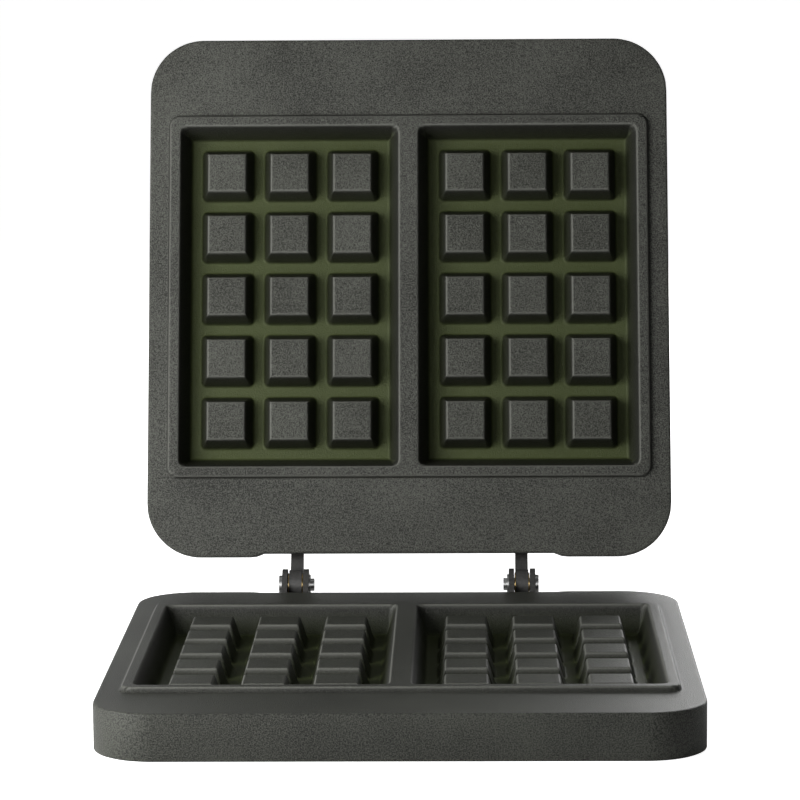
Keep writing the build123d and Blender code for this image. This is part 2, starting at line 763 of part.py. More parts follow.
# Hinge brackets on the lower plate: a leaf seated in the notch and two cheeks that carry the pins
stop_side = arm_neck / 2 + stop_gap + stop_pin_diameter / 2
turn = radians(-opening_angle)
stop_place = (
    cos(turn) * stop_side - sin(turn) * stop_reach,
    sin(turn) * stop_side + cos(turn) * stop_reach,
)
leaf_front = recess_y - hinge_point.Y
leaf_bottom = leaf_lift - hinge_point.Z
for side, word in ((-1, "left"), (1, "right")):
    x = side * hinge_x
    with BuildPart() as bracket:
        with BuildSketch(base_side_plane(x)):
            with Locations((leaf_front, leaf_bottom)):
                Rectangle(leaf_thickness, leaf_height, align=(Align.MIN, Align.MIN))
        extrude(amount=leaf_width / 2, both=True)
        for cheek in (-1, 1):
            start_x = x + cheek * (cheek_inside + cheek_thickness / 2)
            with BuildSketch(base_side_plane(start_x)) as outline:
                Circle(cheek_radius)
                with Locations(stop_place):
                    Circle(stop_radius)
                with Locations((leaf_front, leaf_bottom)):
                    Rectangle(leaf_thickness, leaf_height, align=(Align.MIN, Align.MIN))
                make_hull()
            extrude(amount=cheek_thickness / 2, both=True)
        with BuildSketch(base_side_plane(x)):
            Circle(pin_diameter / 2)
            with Locations(stop_place):
                Circle(stop_pin_diameter / 2)
        extrude(amount=cheek_outside, both=True, mode=Mode.SUBTRACT)
        with BuildSketch(Plane.XZ.offset(-leaf_back_y)):
            with Locations(
                (x - bracket_screw_offset, bracket_screw_z), (x + bracket_screw_offset, bracket_screw_z)
            ):
                Circle(bracket_screw_diameter / 2)
        extrude(amount=leaf_thickness, mode=Mode.SUBTRACT)
    save(bracket, f"hinge_bracket_{word}")

    outward = Plane(
        origin=hinge_point + Vector(x + side * cheek_outside, 0, 0), x_dir=(0, 1, 0), z_dir=(side, 0, 0)
    )
    with BuildPart() as pin:
        with BuildSketch(outward):
            Circle(pin_head_radius)
        extrude(amount=pin_head_length)
        with BuildSketch(outward):
            Circle(pin_diameter / 2)
        extrude(amount=-2 * cheek_outside - pin_tail)
    save(pin, f"hinge_pin_{word}")

    # Arm on the lid: an eye on the pin, a neck past the notch and a foot screwed to the plate's back
    foot_inner = closed_rise + foot_drop
    foot_outer = foot_inner + arm_foot_thickness
    foot_heel = -hinge_setback - arm_foot_inset
    foot_toe = foot_heel - arm_foot_length
    half_neck = arm_neck / 2
    with BuildPart() as arm:
        with BuildSketch(lid_side_plane(x)):
            with BuildLine():
                Polyline(
                    (half_neck, 0),
                    (half_neck, foot_inner - arm_heel_drop),
                    (half_neck - arm_foot_thickness, foot_outer),
                    (foot_toe, foot_outer),
                    (foot_toe, foot_inner),
                    (foot_heel, foot_inner),
                    (-half_neck, foot_inner - arm_foot_thickness),
                    (-half_neck, 0),
                    close=True,
                )
            make_face()
            Circle(arm_eye)
        extrude(amount=arm_thickness / 2, both=True)
        with BuildSketch(lid_side_plane(x)):
            with Locations((foot_toe, foot_inner)):
                Rectangle(arm_foot_length, arm_foot_thickness, align=(Align.MIN, Align.MIN))
        extrude(amount=arm_foot_width / 2, both=True)
        with BuildSketch(lid_side_plane(x)):
            Circle(pin_diameter / 2 + running_clearance + bush_wall)
        extrude(amount=arm_thickness, both=True, mode=Mode.SUBTRACT)
        with BuildSketch(upper_face.offset(-foot_drop)):
            with Locations(*arm_screw_places):
                Circle(arm_screw_diameter / 2)
        extrude(amount=-arm_foot_thickness, mode=Mode.SUBTRACT)
    save(arm, f"hinge_arm_{word}")

bush_bore = pin_diameter / 2 + running_clearance
with BuildPart() as arm_bushes:
    for side in (-1, 1):
        for half_side in (-1, 1):
            middle = Plane(
                origin=hinge_point + Vector(side * hinge_x, 0, 0),
                x_dir=(0, 1, 0),
                z_dir=(half_side, 0, 0),
            )
            with BuildSketch(middle):
                Circle(bush_bore + bush_wall)
                Circle(bush_bore, mode=Mode.SUBTRACT)
            extrude(amount=arm_thickness / 2)
            with BuildSketch(middle.offset(arm_thickness / 2)):
                Circle(bush_flange_radius)
                Circle(bush_bore, mode=Mode.SUBTRACT)
            extrude(amount=bush_flange)
save(arm_bushes, "arm_bushes")

with BuildPart() as stop_pins:
    for side in (-1, 1):
        with BuildSketch(base_side_plane(side * hinge_x)):
            with Locations(stop_place):
                Circle(stop_pin_diameter / 2)
        extrude(amount=cheek_outside, both=True)
save(stop_pins, "stop_pins")

with BuildPart() as pin_clips:
    for side in (-1, 1):
        inner_cheek = Plane(
            origin=hinge_point + Vector(side * (hinge_x - cheek_outside), 0, 0),
            x_dir=(0, 1, 0),
            z_dir=(-side, 0, 0),
        )
        with BuildSketch(inner_cheek):
            Circle(clip_radius)
            Circle(pin_diameter / 2, mode=Mode.SUBTRACT)
        extrude(amount=clip_thickness)
save(pin_clips, "pin_clips")

bracket_seat = Plane(origin=(0, leaf_back_y, 0), x_dir=(-1, 0, 0), z_dir=(0, 1, 0))
bracket_screws = screws(
    bracket_seat,
    [(-x, bracket_screw_z) for x in bracket_screw_places],
    bracket_screw_diameter,
    leaf_thickness + bracket_screw_depth - screw_end_gap,
)
save(bracket_screws, "bracket_screws")

arm_seat = lid_back.offset(arm_pad + arm_foot_thickness)
arm_screws = screws(
    arm_seat,
    [(-x, y) for x, y in arm_screw_places],
    arm_screw_diameter,
    arm_foot_thickness + arm_screw_depth - screw_end_gap,
)
save(arm_screws, "arm_screws")

# Handle across the lid's back: two posts on studs, a rod with cap nuts and a turned grip
grip_drop = handle_reach
eye_half = handle_eye_radius
for side, word in ((-1, "left"), (1, "right")):
    post_foot = Plane(
        origin=upper_face.from_local_coords((side * handle_span / 2, handle_y, -lid_cover_depth)),
        x_dir=(1, 0, 0),
        z_dir=lid_normal * -1,
    )
    eye_height = grip_drop - lid_cover_depth
    with BuildPart() as handle_post:
        with BuildSketch(post_foot):
            Circle(handle_foot_radius)
        extrude(amount=handle_foot_height, taper=handle_foot_taper)
        with BuildSketch(post_foot):
            Circle(handle_stem_radius)
        extrude(amount=eye_height)
        eye_plane = Plane(
            origin=upper_face.from_local_coords((side * handle_span / 2, handle_y, -grip_drop)),
            x_dir=post_foot.y_dir,
            z_dir=(1, 0, 0),
        )
        with BuildSketch(eye_plane):
            Circle(handle_eye_radius)
        extrude(amount=eye_half, both=True)
        with BuildSketch(eye_plane):
            Circle(rod_diameter / 2)
        extrude(amount=2 * eye_half, both=True, mode=Mode.SUBTRACT)
        with BuildSketch(post_foot):
            Circle(stud_diameter / 2)
        extrude(amount=stud_depth, mode=Mode.SUBTRACT)
    save(handle_post, f"handle_post_{word}")

grip_centre = upper_face.from_local_coords((0, handle_y, -grip_drop))
grip_half = handle_span / 2 - eye_half
grip_plane = Plane(origin=grip_centre, x_dir=(1, 0, 0), z_dir=toward_free_edge)
with BuildPart() as handle_grip:
    with BuildSketch(grip_plane):
        with BuildLine():
            Line((-grip_half, grip_end_radius), (-grip_half, rod_diameter / 2))
            Line((-grip_half, rod_diameter / 2), (grip_half, rod_diameter / 2))
            Line((grip_half, rod_diameter / 2), (grip_half, grip_end_radius))
            ThreePointArc((grip_half, grip_end_radius), (0, grip_radius), (-grip_half, grip_end_radius))
        make_face()
    revolve(axis=Axis(grip_centre, (1, 0, 0)))
save(handle_grip, "handle_grip")

rod_half = handle_span / 2 + eye_half
with BuildPart() as handle_rod:
    with BuildSketch(Plane(origin=grip_centre, x_dir=toward_free_edge, z_dir=(1, 0, 0))):
        Circle(rod_diameter / 2)
    extrude(amount=rod_half, both=True)
save(handle_rod, "handle_rod")

with BuildPart() as handle_nuts:
    for side in (-1, 1):
        nut_plane = Plane(
            origin=grip_centre + Vector(side * rod_half, 0, 0),
            x_dir=toward_free_edge,
            z_dir=(side, 0, 0),
        )
        with BuildSketch(nut_plane):
            RegularPolygon(cap_nut_flats / 2, 6, major_radius=False)
        extrude(amount=cap_nut_length, taper=cap_nut_taper)
save(handle_nuts, "handle_nuts")

with BuildPart() as handle_studs:
    with BuildSketch(upper_face.offset(-lid_cover_depth)):
        with Locations((handle_span / 2, handle_y), (-handle_span / 2, handle_y)):
            Circle(stud_diameter / 2)
    extrude(amount=stud_depth + lid_cover_wall - screw_end_gap)
    with BuildSketch(upper_face.offset(-lid_cover_depth)):
        with Locations((handle_span / 2, handle_y), (-handle_span / 2, handle_y)):
            Circle(stud_diameter / 2)
    extrude(amount=-stud_depth)
save(handle_studs, "handle_studs")
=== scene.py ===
"""Looks of a hinged pair of cast waffle plates.

Builds both castings with their bosses and pads, gives every other piece its finish, and sets a pale
floor, soft lamps and the camera of the photograph.
"""

import json
import logging
from dataclasses import dataclass
from enum import Enum
from math import cos, pi, radians, sin

import bmesh
import bpy
import numpy as np
from mathutils import Matrix, Vector

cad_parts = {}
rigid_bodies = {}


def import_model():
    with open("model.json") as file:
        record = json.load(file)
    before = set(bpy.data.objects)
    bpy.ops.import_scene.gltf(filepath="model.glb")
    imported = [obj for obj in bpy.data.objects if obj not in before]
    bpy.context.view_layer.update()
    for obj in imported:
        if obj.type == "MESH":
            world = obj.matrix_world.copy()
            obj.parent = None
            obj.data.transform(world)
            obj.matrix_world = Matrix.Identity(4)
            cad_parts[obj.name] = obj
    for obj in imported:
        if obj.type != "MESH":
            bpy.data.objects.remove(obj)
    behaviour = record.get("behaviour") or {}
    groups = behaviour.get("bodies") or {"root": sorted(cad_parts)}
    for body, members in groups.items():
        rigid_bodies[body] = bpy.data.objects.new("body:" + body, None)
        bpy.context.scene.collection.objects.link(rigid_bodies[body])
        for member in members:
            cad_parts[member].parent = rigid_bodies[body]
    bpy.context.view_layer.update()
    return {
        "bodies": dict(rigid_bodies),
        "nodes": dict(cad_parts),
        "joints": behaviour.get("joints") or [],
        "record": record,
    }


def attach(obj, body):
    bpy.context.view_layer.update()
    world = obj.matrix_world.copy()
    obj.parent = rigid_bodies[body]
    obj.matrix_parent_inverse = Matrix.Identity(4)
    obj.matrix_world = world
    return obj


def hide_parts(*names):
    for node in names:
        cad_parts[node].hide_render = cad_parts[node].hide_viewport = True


LOG = logging.getLogger("waffle_plates")
Colour = tuple[float, float, float]
Place = tuple[float, float, float]
Face = tuple[int, ...]

MM = 0.001
OPENING_DEGREES = 106.0
LEAN = radians(OPENING_DEGREES - 90.0)
HINGE_Y = 140.9
HINGE_Z = 20.5
CLOSED_RISE = 4.6
LOWER_THICKNESS = 20.0
UPPER_THICKNESS = 5.0
UNSTRETCHED = (1.0, 1.0, 1.0)

# Socket numbers of a Mix node that is set to colours
MIX_FACTOR, MIX_FIRST, MIX_SECOND, MIX_RESULT = 0, 6, 7, 2


class Side(Enum):
    """Which of the two castings is meant."""

    LOWER = "lower"
    UPPER = "upper"


def smooth_max(a: np.ndarray, b: np.ndarray, k: float) -> np.ndarray:
    """The larger of two heights, rounded where they meet.

    Formula: max(a, b) plus the square of (k - |a - b|), where positive, over 4k.

    Args:
        a: first heights.
        b: second heights.
        k: height over which the corner is rounded.

    Returns:
        The blended heights.
    """
    return np.maximum(a, b) + np.maximum(k - np.abs(a - b), 0.0) ** 2 / (4.0 * k)


def smooth_min(a: np.ndarray, b: np.ndarray, k: float) -> np.ndarray:
    """The smaller of two heights, rounded where they meet: minus the larger of their negatives."""
    return -smooth_max(-a, -b, k)


def near_zero(gap: np.ndarray, spread: float) -> np.ndarray:
    """A mask that is 1 where the gap is 0: e to minus the square of the gap over the spread."""
    return np.exp(-(gap**2) / spread)


def rounded_box(
    x: np.ndarray, y: np.ndarray, half_x: float, half_y: float, radius: float
) -> np.ndarray:
    """Signed distance to a rounded rectangle, negative inside.

    Formula: with q the folded point less the rectangle's half sizes plus the radius, the length of
    q's positive part, plus the larger of q's coordinates where that is negative, minus the radius.

    Args:
        x: points across.
        y: points along.
        half_x: half width.
        half_y: half length.
        radius: corner radius.

    Returns:
        The distances.
    """
    qx = np.abs(x) - half_x + radius
    qy = np.abs(y) - half_y + radius
    outside = np.hypot(np.maximum(qx, 0.0), np.maximum(qy, 0.0))
    return outside + np.minimum(np.maximum(qx, qy), 0.0) - radius


def make_mesh(name: str, points: np.ndarray, faces: list[Face]) -> bpy.types.Object:
    """Makes one smooth-shaded object at the origin, with its faces turned outwards.

    Args:
        name: the piece's name.
        points: an N x 3 array of places in the row frame, in millimetres.
        faces: point numbers of each face.

    Returns:
        The new object.
    """
    mesh = bpy.data.meshes.new(name)
    mesh.from_pydata((points * MM).tolist(), [], faces)
    mesh.validate()
    shell = bmesh.new()
    shell.from_mesh(mesh)
    bmesh.ops.recalc_face_normals(shell, faces=shell.faces)
    shell.to_mesh(mesh)
    shell.free()
    mesh.polygons.foreach_set("use_smooth", np.ones(len(mesh.polygons), dtype=bool))
    piece = bpy.data.objects.new(name, mesh)
    bpy.context.scene.collection.objects.link(piece)
    return piece


def loop_faces(start: int, rings: int, count: int) -> np.ndarray:
    """Quads between rings of points that each close on themselves.

    Args:
        start: number of the first ring's first point.
        rings: how many rings there are.
        count: points in each ring.

    Returns:
        An array of quads.
    """
    ring = np.arange(rings - 1)[:, None] * count + start
    step = np.arange(count)[None, :]
    after = (step + 1) % count
    corners = [ring + step, ring + count + step, ring + count + after, ring + after]
    return np.stack(corners, axis=-1).reshape(-1, 4)


def capped_stacks(stacks: list[np.ndarray]) -> tuple[np.ndarray, list[Face]]:
    """Closed solids from stacks of rings: quads from ring to ring and one face at each end.

    Args:
        stacks: one array of rings x points x 3 for each solid, all of one shape.

    Returns:
        The points of all solids, and their faces.
    """
    rings, count = stacks[0].shape[:2]
    faces: list[Face] = []
    for index in range(len(stacks)):
        start = index * rings * count
        last = start + (rings - 1) * count
        faces += [tuple(quad) for quad in loop_faces(start, rings, count).tolist()]
        faces.append(tuple(range(start, start + count))[::-1])
        faces.append(tuple(range(last, last + count)))
    return np.concatenate([stack.reshape(-1, 3) for stack in stacks]), faces


@dataclass
class PlateFrame:
    """Where a baking face lies, with its axes across, towards the free edge and out of the face."""

    centre: np.ndarray
    across: np.ndarray
    along: np.ndarray
    out: np.ndarray

    def place(self, local: np.ndarray) -> np.ndarray:
        """Local points to the row frame: the centre plus each coordinate times its axis."""
        axes = np.stack([self.across, self.along, self.out])
        return self.centre + local @ axes


def frame_of(side: Side) -> PlateFrame:
    """The face of one casting at rest.

    Args:
        side: which casting.

    Returns:
        Its frame, in millimetres.
    """
    if side is Side.LOWER:
        return PlateFrame(
            centre=np.array([0.0, 0.0, LOWER_THICKNESS]),
            across=np.array([-1.0, 0.0, 0.0]),
            along=np.array([0.0, -1.0, 0.0]),
            out=np.array([0.0, 0.0, 1.0]),
        )
    along = np.array([0.0, sin(LEAN), cos(LEAN)])
    out = np.array([0.0, -cos(LEAN), sin(LEAN)])
    centre = np.array([0.0, HINGE_Y, HINGE_Z]) + along * HINGE_Y - out * CLOSED_RISE
    return PlateFrame(centre, np.array([1.0, 0.0, 0.0]), along, out)


def grain_group() -> bpy.types.ShaderNodeTree:
    """A shared group of a fine grain and a broad mottle, both from Object coordinates.

    Returns:
        The node group.
    """
    group = bpy.data.node_groups.new("fine_grain", "ShaderNodeTree")
    enter = group.nodes.new("NodeGroupInput")
    leave = group.nodes.new("NodeGroupOutput")
    place = group.nodes.new("ShaderNodeTexCoord")
    for label, scale, detail in (("Grain", 900.0, 3.0), ("Mottle", 18.0, 4.0)):
        size = group.interface.new_socket(
            f"{label} Scale", in_out="INPUT", socket_type="NodeSocketFloat"
        )
        size.default_value = scale
        group.interface.new_socket(label, in_out="OUTPUT", socket_type="NodeSocketFloat")
        noise = group.nodes.new("ShaderNodeTexNoise")
        noise.inputs["Detail"].default_value = detail
        group.links.new(place.outputs["Object"], noise.inputs["Vector"])
        group.links.new(enter.outputs[f"{label} Scale"], noise.inputs["Scale"])
        group.links.new(noise.outputs["Fac"], leave.inputs[label])
    return group


@dataclass(frozen=True)
class Finish:
    """A finish: two colours that mottle together, its gloss, its metal share and its grain."""

    name: str
    dark: Colour
    light: Colour
    rough_low: float
    rough_high: float
    metal: float = 0.0
    grain_scale: float = 900.0
    mottle_scale: float = 18.0
    bump: float = 0.00002
    specular: float = 0.5
    stretch: Colour = UNSTRETCHED
    mottle_share: float = 0.25
    spread_low: float = 0.49
    spread_high: float = 0.76

    def make(self, group: bpy.types.ShaderNodeTree) -> bpy.types.Material:
        """Builds the material.

        Args:
            group: the shared grain group.

        Returns:
            The material.
        """
        material = bpy.data.materials.new(self.name)
        material.use_nodes = True
        nodes, links = material.node_tree.nodes, material.node_tree.links
        shader = nodes["Principled BSDF"]
        shader.inputs["Metallic"].default_value = self.metal
        shader.inputs["Specular IOR Level"].default_value = self.specular
        grain = nodes.new("ShaderNodeGroup")
        grain.node_tree = group
        grain.inputs["Grain Scale"].default_value = self.grain_scale
        grain.inputs["Mottle Scale"].default_value = self.mottle_scale
        colour = self.speckle(nodes, links, grain)
        rough = nodes.new("ShaderNodeMapRange")
        rough.inputs["To Min"].default_value = self.rough_low
        rough.inputs["To Max"].default_value = self.rough_high
        links.new(grain.outputs["Grain"], rough.inputs["Value"])
        links.new(rough.outputs["Result"], shader.inputs["Roughness"])
        bump = nodes.new("ShaderNodeBump")
        bump.inputs["Distance"].default_value = self.bump
        links.new(self.height(nodes, links, grain), bump.inputs["Height"])
        links.new(bump.outputs["Normal"], shader.inputs["Normal"])
        links.new(self.tint(nodes, links, colour), shader.inputs["Base Color"])
        return material

    def speckle(
        self,
        nodes: bpy.types.Nodes,
        links: bpy.types.NodeLinks,
        grain: bpy.types.ShaderNodeGroup,
    ) -> bpy.types.NodeSocket:
        """Mixes the dark and the light colour by the grain plus a share of the mottle.

        Args:
            nodes: the material's nodes.
            links: the material's links.
            grain: the placed grain group.

        Returns:
            The mixed colour.
        """
        colour = nodes.new("ShaderNodeMix")
        colour.data_type = "RGBA"
        colour.inputs[MIX_FIRST].default_value = (*self.dark, 1.0)
        colour.inputs[MIX_SECOND].default_value = (*self.light, 1.0)
        both = nodes.new("ShaderNodeMath")
        both.operation = "MULTIPLY_ADD"
        both.inputs[1].default_value = self.mottle_share
        links.new(grain.outputs["Mottle"], both.inputs[0])
        links.new(grain.outputs["Grain"], both.inputs[2])
        spread = nodes.new("ShaderNodeMapRange")
        spread.inputs["From Min"].default_value = self.spread_low
        spread.inputs["From Max"].default_value = self.spread_high
        links.new(both.outputs[0], spread.inputs["Value"])
        links.new(spread.outputs["Result"], colour.inputs[MIX_FACTOR])
        return colour.outputs[MIX_RESULT]

    def height(
        self,
        nodes: bpy.types.Nodes,
        links: bpy.types.NodeLinks,
        grain: bpy.types.ShaderNodeGroup,
    ) -> bpy.types.NodeSocket:
        """The bump's height: the grain, or long fine lines where the finish is brushed.

        Args:
            nodes: the material's nodes.
            links: the material's links.
            grain: the placed grain group.

        Returns:
            The height.
        """
        if self.stretch == UNSTRETCHED:
            return grain.outputs["Grain"]
        place = nodes.new("ShaderNodeTexCoord")
        turn = nodes.new("ShaderNodeMapping")
        turn.inputs["Scale"].default_value = self.stretch
        noise = nodes.new("ShaderNodeTexNoise")
        noise.inputs["Scale"].default_value = self.grain_scale
        links.new(place.outputs["Object"], turn.inputs["Vector"])
        links.new(turn.outputs["Vector"], noise.inputs["Vector"])
        return noise.outputs["Fac"]

    def tint(
        self,
        nodes: bpy.types.Nodes,
        links: bpy.types.NodeLinks,
        colour: bpy.types.NodeSocket,
    ) -> bpy.types.NodeSocket:
        """The colour that reaches the shader; plain finishes leave it as it is."""
        return colour


@dataclass(frozen=True)
class CastFinish(Finish):
    """The seasoned casting: olive in its cavities, a painted shade of near-black on its steep
    flanks, and paler along edges for wear and a painted highlight.
    """

    olive: Colour = (0.038, 0.048, 0.014)
    # Painted shade: near-black laid on the steep flanks, standing in for the shade that falls
    # there.
    flank_painted_shade: Colour = (0.005, 0.005, 0.004)
    # Paler edge colour: partly real wear, partly a painted highlight along convex edges.
    rubbed_and_highlight: Colour = (0.170, 0.172, 0.155)
    olive_share: float = 0.85
    flank_painted_shade_share: float = 0.74
    rubbed_and_highlight_share: float = 0.5

    def tint(
        self,
        nodes: bpy.types.Nodes,
        links: bpy.types.NodeLinks,
        colour: bpy.types.NodeSocket,
    ) -> bpy.types.NodeSocket:
        """Mixes in the olive, the painted flank shade and the paler edge of wear and painted
        highlight, each by the casting's own mask.

        Args:
            nodes: the material's nodes.
            links: the material's links.
            colour: the speckled colour.

        Returns:
            The tinted colour.
        """
        layers = (
            ("recess", self.olive, self.olive_share),
            ("flank", self.flank_painted_shade, self.flank_painted_shade_share),
            ("wear_and_highlight", self.rubbed_and_highlight, self.rubbed_and_highlight_share),
        )
        for mask, shade, share in layers:
            read = nodes.new("ShaderNodeAttribute")
            read.attribute_name = mask
            scale = nodes.new("ShaderNodeMath")
            scale.operation = "MULTIPLY"
            scale.inputs[1].default_value = share
            mix = nodes.new("ShaderNodeMix")
            mix.data_type = "RGBA"
            mix.inputs[MIX_SECOND].default_value = (*shade, 1.0)
            links.new(read.outputs["Fac"], scale.inputs[0])
            links.new(scale.outputs[0], mix.inputs[MIX_FACTOR])
            links.new(colour, mix.inputs[MIX_FIRST])
            colour = mix.outputs[MIX_RESULT]
        return colour


FINISHES = {
    "cast": CastFinish(
        "seasoned_casting",
        dark=(0.016, 0.016, 0.014),
        light=(0.070, 0.072, 0.063),
        rough_low=0.46,
        rough_high=0.60,
        grain_scale=1700.0,
        mottle_scale=22.0,
        bump=0.00030,
        specular=0.12,
    ),
    # Painted shade: a darker copy of the same seasoned casting for the lower plate and its bosses,
    # standing in for the weaker light on the lower plate.
    "cast_below": CastFinish(
        "lower_casting_painted_darker",
        dark=(0.010, 0.010, 0.009),
        light=(0.046, 0.048, 0.040),
        rough_low=0.42,
        rough_high=0.56,
        grain_scale=1700.0,
        mottle_scale=22.0,
        bump=0.00030,
        specular=0.16,
        flank_painted_shade_share=0.55,
    ),
    "hinge_steel": Finish(
        "black_steel",
        dark=(0.030, 0.030, 0.029),
        light=(0.045, 0.044, 0.042),
        rough_low=0.38,
        rough_high=0.58,
        metal=0.3,
    ),
    "sheet_steel": Finish(
        "brushed_sheet",
        dark=(0.43, 0.43, 0.42),
        light=(0.48, 0.48, 0.47),
        rough_low=0.30,
        rough_high=0.40,
        metal=1.0,
        grain_scale=1500.0,
        mottle_scale=7.0,
        bump=0.000012,
        stretch=(0.012, 1.0, 1.0),
    ),
    "element_tube": Finish(
        "annealed_tube",
        dark=(0.16, 0.14, 0.12),
        light=(0.26, 0.25, 0.24),
        rough_low=0.35,
        rough_high=0.5,
        metal=1.0,
    ),
    "fastener": Finish(
        "zinc_plate",
        dark=(0.46, 0.47, 0.47),
        light=(0.56, 0.56, 0.55),
        rough_low=0.24,
        rough_high=0.40,
        metal=1.0,
    ),
    "ceramic": Finish(
        "glazed_ceramic",
        dark=(0.74, 0.71, 0.64),
        light=(0.82, 0.80, 0.74),
        rough_low=0.20,
        rough_high=0.34,
    ),
    "brass_part": Finish(
        "turned_brass",
        dark=(0.55, 0.38, 0.15),
        light=(0.70, 0.52, 0.24),
        rough_low=0.24,
        rough_high=0.38,
        metal=1.0,
    ),
    "board": Finish(
        "pressed_fibre",
        dark=(0.60, 0.57, 0.50),
        light=(0.72, 0.69, 0.62),
        rough_low=0.80,
        rough_high=0.95,
        grain_scale=400.0,
    ),
    "grip": Finish(
        "moulded_grip",
        dark=(0.016, 0.016, 0.017),
        light=(0.022, 0.022, 0.023),
        rough_low=0.42,
        rough_high=0.58,
        grain_scale=1300.0,
        mottle_scale=30.0,
        bump=0.00006,
    ),
    "post": Finish(
        "satin_post",
        dark=(0.50, 0.50, 0.51),
        light=(0.60, 0.60, 0.61),
        rough_low=0.30,
        rough_high=0.42,
        metal=1.0,
    ),
}


@dataclass
class Dressing:
    """Gives every CAD node the finish of its slot, and every new piece the one it asks for."""

    nodes: dict[str, bpy.types.Object]
    record: dict
    materials: dict[str, bpy.types.Material]

    def dress(self) -> None:
        """Puts one material on each node."""
        for part in self.record["subparts"]:
            node = self.nodes[part["node"]]
            node.data.materials.clear()
            node.data.materials.append(self.materials[part["material_slot"]])
            LOG.info("dressed %s", node.name)

    def dress_piece(self, piece: bpy.types.Object, finish: str) -> None:
        """Puts a finish on a new piece.

        Args:
            piece: the new piece.
            finish: the name of its finish.
        """
        piece.data.materials.append(self.materials[finish])
        LOG.info("made %s with %d faces", piece.name, len(piece.data.polygons))


@dataclass
class WafflePlate:
    """One casting, in millimetres: grid, rim and flange in front, wall and back behind."""

    side: Side
    columns: int = 3
    rows: int = 5
    post_base: float = 25.0
    post_top: float = 18.0
    post_height: float = 11.0
    post_corner: float = 2.4
    post_foot_round: float = 2.6
    crown_round: float = 1.5
    channel: float = 5.5
    floor_drop: float = 11.4
    floor_round: float = 3.0
    wall_draft: float = 4.8
    cavity_corner: float = 3.6
    cavity_reach: float = 2.5
    centre_bar: float = 9.1
    bar_round: float = 1.0
    rim_side: float = 4.7
    rim_end: float = 4.4
    rim_height: float = 2.4
    rim_corner: float = 4.6
    rim_flare: float = 0.9
    rim_round: float = 0.8
    rim_foot_round: float = 0.6
    side_margin: float = 10.15
    end_margin: float = 38.8
    plate_corner: float = 26.0
    least_corner: float = 3.0
    notch_width: float = 148.0
    notch_slope: float = 4.5
    notch_depth: float = 1.7
    edge_round: float = 1.1
    foot_chamfer: float = 0.6
    foot_ease: float = 0.3
    lip_width: float = 3.0
    cover_recess: float = 0.9
    skirt_width: float = 6.0
    lower_web: float = 6.0
    body_drop: float = 15.9
    body_overlap: float = 1.0
    body_chamfer: float = 0.8
    patch_margin: float = 1.9
    plain_lines: int = 45
    least_gap: float = 0.22
    crowd: tuple[float, ...] = (-1.3, -0.8, -0.4, 0.0, 0.4, 0.8, 1.3)
    flange_shares: tuple[float, ...] = (0.35, 0.7, 0.96)
    crown_wear_and_highlight: float = 1.4
    mouth_wear_and_highlight: float = 1.0
    rim_wear_and_highlight: float = 0.6
    gentle_slope: float = 0.6
    slope_span: float = 1.4

    def __post_init__(self) -> None:
        """Works out the sizes that follow from the fields."""
        self.pitch = self.post_base + self.channel
        self.outer_column = (self.columns - 1) // 2
        self.outer_row = (self.rows - 1) // 2
        self.floor_half_x = (self.columns * self.pitch + self.channel) / 2
        self.floor_half_y = (self.rows * self.pitch + self.channel) / 2
        self.mouth_half_x = self.floor_half_x + self.wall_draft
        self.mouth_half_y = self.floor_half_y + self.wall_draft
        self.cavity_x = self.centre_bar / 2 + self.mouth_half_x
        self.rim_half_x = self.cavity_x + self.mouth_half_x + self.rim_side
        self.rim_half_y = self.mouth_half_y + self.rim_end
        self.half_x = self.rim_half_x + self.side_margin
        self.half_y = self.rim_half_y + self.end_margin
        self.thickness = LOWER_THICKNESS if self.side is Side.LOWER else UPPER_THICKNESS

    def height(self, x: np.ndarray, y: np.ndarray) -> tuple[np.ndarray, np.ndarray]:
        """Height of the baking side over the flange face.

        Formula: a rim ramp and a drafted cavity wall, each a signed distance times a slope, cut to
        their levels and joined by rounded minima and maxima, with one post repeated by folding the
        plane at the pitch.

        Args:
            x: points across.
            y: points along.

        Returns:
            Heights, and a mask that is 1 on convex edges.
        """
        rim_reach = rounded_box(x, y, self.rim_half_x, self.rim_half_y, self.rim_corner)
        rim_ramp = (self.rim_flare - rim_reach) * (self.rim_height / self.rim_flare)
        rim = smooth_min(rim_ramp, np.full_like(x, self.rim_height), self.rim_round)
        rim = smooth_max(rim, np.zeros_like(x), self.rim_foot_round)
        fold = np.abs(x) - self.cavity_x
        mouth = -rounded_box(fold, y, self.mouth_half_x, self.mouth_half_y, self.cavity_corner)
        wall = self.rim_height - mouth * (self.floor_drop + self.rim_height) / self.wall_draft
        floor = smooth_max(wall, np.full_like(x, -self.floor_drop), self.floor_round)
        column = np.clip(np.round(fold / self.pitch), -self.outer_column, self.outer_column)
        row = np.clip(np.round(y / self.pitch), -self.outer_row, self.outer_row)
        off_x, off_y = fold - self.pitch * column, y - self.pitch * row
        half_post = self.post_base / 2
        inset = -rounded_box(off_x, off_y, half_post, half_post, self.post_corner)
        flank = -self.floor_drop + inset * 2 * self.post_height / (self.post_base - self.post_top)
        crown = np.full_like(x, self.post_height - self.floor_drop)
        post = smooth_min(flank, crown, self.crown_round)
        grid = smooth_max(floor, post, self.post_foot_round)
        top = smooth_min(rim, grid, self.bar_round)
        level = np.where(mouth > -self.cavity_reach, top, rim)
        # Convex-edge mask for the paler colour: partly wear, partly painted highlight.
        edge = near_zero(flank - crown, self.crown_wear_and_highlight)
        edge = edge + near_zero(wall - self.rim_height, self.mouth_wear_and_highlight)
        edge = edge + near_zero(rim_ramp - self.rim_height, self.rim_wear_and_highlight)
        return level, np.clip(edge, 0.0, 1.0)

